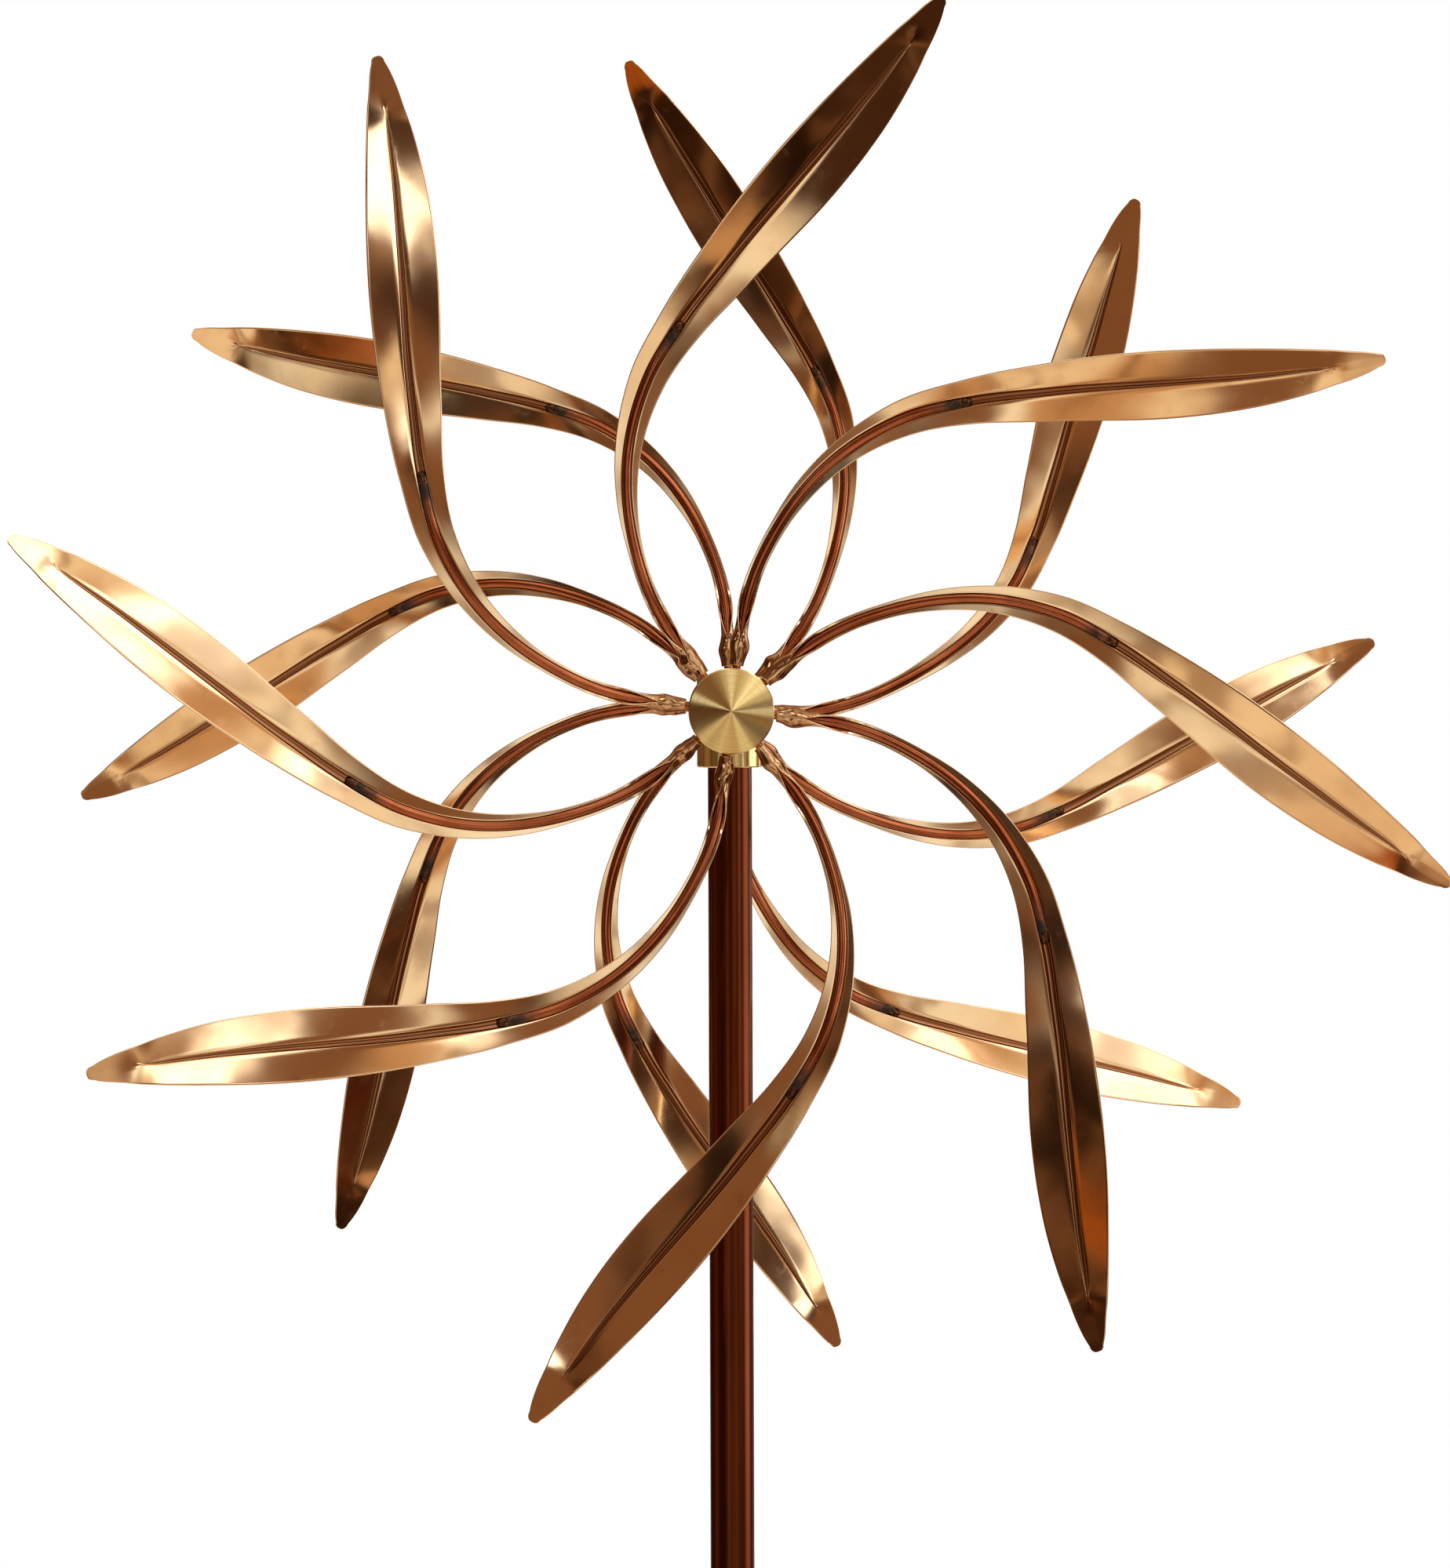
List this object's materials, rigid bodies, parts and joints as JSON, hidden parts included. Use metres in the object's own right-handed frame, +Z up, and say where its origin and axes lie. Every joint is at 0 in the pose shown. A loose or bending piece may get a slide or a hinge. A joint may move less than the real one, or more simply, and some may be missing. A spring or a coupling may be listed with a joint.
{
  "type": "wind spinner",
  "caption": "Garden wind spinner: two counter-turning rotors of curved leaf petals in copper, on a brass head over a copper pole with a ground stake.",
  "frame": {"origin": "on the pole's axis at ground level, where the stake's collar stands on the ground", "axes": "+Z up the pole, -Y towards the front rotor, along the axle"},
  "size_m": [0.5957, 0.2142, 2.1056],
  "materials": {
    "petal_copper": "polished copper",
    "rod_copper": "drawn copper",
    "pole_copper": "darkened copper",
    "turned_brass": "turned brass",
    "bearing_steel": "ground",
    "plain_steel": "turned",
    "stake_steel": "satin black"
  },
  "bodies": {
    "stand": {"axle": "plain_steel", "axle_clips": "plain_steel", "front_inner_bearing_inner_ring": "bearing_steel", "front_outer_bearing_inner_ring": "bearing_steel", "front_spacer": "plain_steel", "ground_stake": "stake_steel", "grub_screws": "plain_steel", "lower_pole": "pole_copper", "middle_pole": "pole_copper", "pole_head": "turned_brass", "rear_inner_bearing_inner_ring": "bearing_steel", "rear_outer_bearing_inner_ring": "bearing_steel", "rear_spacer": "plain_steel", "upper_pole": "pole_copper"},
    "front_rotor": {"front_cap": "turned_brass", "front_hub": "turned_brass", "front_inner_bearing_balls": "bearing_steel", "front_inner_bearing_outer_ring": "bearing_steel", "front_leaf_1": "petal_copper", "front_leaf_2": "petal_copper", "front_leaf_3": "petal_copper", "front_leaf_4": "petal_copper", "front_leaf_5": "petal_copper", "front_leaf_6": "petal_copper", "front_leaf_7": "petal_copper", "front_leaf_8": "petal_copper", "front_outer_bearing_balls": "bearing_steel", "front_outer_bearing_outer_ring": "bearing_steel", "front_rod_1": "rod_copper", "front_rod_2": "rod_copper", "front_rod_3": "rod_copper", "front_rod_4": "rod_copper", "front_rod_5": "rod_copper", "front_rod_6": "rod_copper", "front_rod_7": "rod_copper", "front_rod_8": "rod_copper"},
    "rear_rotor": {"rear_cap": "turned_brass", "rear_hub": "turned_brass", "rear_inner_bearing_balls": "bearing_steel", "rear_inner_bearing_outer_ring": "bearing_steel", "rear_leaf_1": "petal_copper", "rear_leaf_2": "petal_copper", "rear_leaf_3": "petal_copper", "rear_leaf_4": "petal_copper", "rear_leaf_5": "petal_copper", "rear_leaf_6": "petal_copper", "rear_leaf_7": "petal_copper", "rear_leaf_8": "petal_copper", "rear_outer_bearing_balls": "bearing_steel", "rear_outer_bearing_outer_ring": "bearing_steel", "rear_rod_1": "rod_copper", "rear_rod_2": "rod_copper", "rear_rod_3": "rod_copper", "rear_rod_4": "rod_copper", "rear_rod_5": "rod_copper", "rear_rod_6": "rod_copper", "rear_rod_7": "rod_copper", "rear_rod_8": "rod_copper"}
  },
  "joints": [
    {"name": "front_spin", "type": "hinge", "parent": "stand", "child": "front_rotor", "pos_m": [0, -0.062, 1.524], "axis": [0, -1, 0], "continuous": true},
    {"name": "rear_spin", "type": "hinge", "parent": "stand", "child": "rear_rotor", "pos_m": [0, 0.062, 1.524], "axis": [0, 1, 0], "continuous": true}
  ]
}
